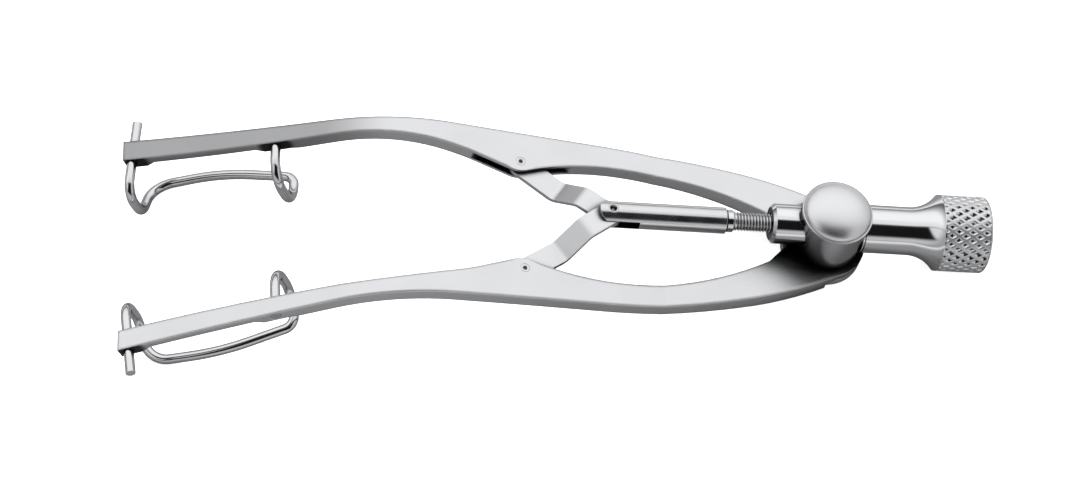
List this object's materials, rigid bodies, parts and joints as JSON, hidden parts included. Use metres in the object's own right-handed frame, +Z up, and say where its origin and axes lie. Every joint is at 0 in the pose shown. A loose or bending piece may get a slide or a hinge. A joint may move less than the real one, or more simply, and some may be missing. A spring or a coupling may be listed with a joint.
{
  "type": "eye speculum",
  "caption": "Adjustable eye speculum with wire blades, opened and closed by a knurled thumb screw, a draw rod and two links.",
  "frame": {"origin": "bottom centre of the bounding box, on the surface the instrument lies on", "axes": "+X from the blades towards the knob, +Y towards the left arm, +Z up from the resting surface"},
  "size_m": [0.0826, 0.0274, 0.0122],
  "materials": {
    "satin_steel": "satin",
    "polished_steel": "polished"
  },
  "bodies": {
    "post": {"pivot_post": "polished_steel", "cap": "satin_steel", "pivot_screw": "polished_steel", "upper_washer": "polished_steel", "lower_washer": "polished_steel", "thrust_washer": "polished_steel"},
    "thumb_screw": {"knob": "polished_steel", "threaded_sleeve": "polished_steel", "retaining_collar": "polished_steel"},
    "draw_rod": {"draw_rod": "polished_steel", "stop_ring": "polished_steel", "lead_screw": "polished_steel", "fork_pin": "polished_steel"},
    "arm_left": {"arm_left": "satin_steel", "blade_wire_left": "polished_steel", "link_rivet_left": "satin_steel"},
    "arm_right": {"arm_right": "satin_steel", "blade_wire_right": "polished_steel", "link_rivet_right": "satin_steel"},
    "link_left": {"link_left": "satin_steel"},
    "link_right": {"link_right": "satin_steel"}
  },
  "joints": [
    {"name": "rod_slide", "type": "slide", "parent": "post", "child": "draw_rod", "axis": [0.988, 0, -0.1542], "range_m": [-0.00017, 0.00088]},
    {"name": "knob_turn", "type": "hinge", "parent": "post", "child": "thumb_screw", "pos_m": [0.02596, 0, 0.00586], "axis": [-0.988, 0, 0.1542], "range_deg": [-181.8, 909]},
    {"name": "arm_left_swing", "type": "hinge", "parent": "post", "child": "arm_left", "pos_m": [0.02596, 0, 0.00586], "axis": [0.1542, 0, 0.988], "range_deg": [-0.87, 4.33]},
    {"name": "arm_right_swing", "type": "hinge", "parent": "post", "child": "arm_right", "pos_m": [0.02596, 0, 0.00586], "axis": [-0.1542, 0, -0.988], "range_deg": [-0.87, 4.33]},
    {"name": "link_left_swing", "type": "hinge", "parent": "draw_rod", "child": "link_left", "pos_m": [0.00497, 0, 0.00914], "axis": [0.1542, 0, 0.988], "range_deg": [-2.93, 14.67]},
    {"name": "link_right_swing", "type": "hinge", "parent": "draw_rod", "child": "link_right", "pos_m": [0.00497, 0, 0.00914], "axis": [-0.1542, 0, -0.988], "range_deg": [-2.93, 14.67]}
  ],
  "couplings": [
    {"joint": "knob_turn", "follows": "rod_slide", "rad_per_m": 17952},
    {"joint": "arm_left_swing", "follows": "rod_slide", "rad_per_m": 85.521},
    {"joint": "arm_right_swing", "follows": "rod_slide", "rad_per_m": 85.521},
    {"joint": "link_left_swing", "follows": "rod_slide", "rad_per_m": 289.72},
    {"joint": "link_right_swing", "follows": "rod_slide", "rad_per_m": 289.72}
  ]
}
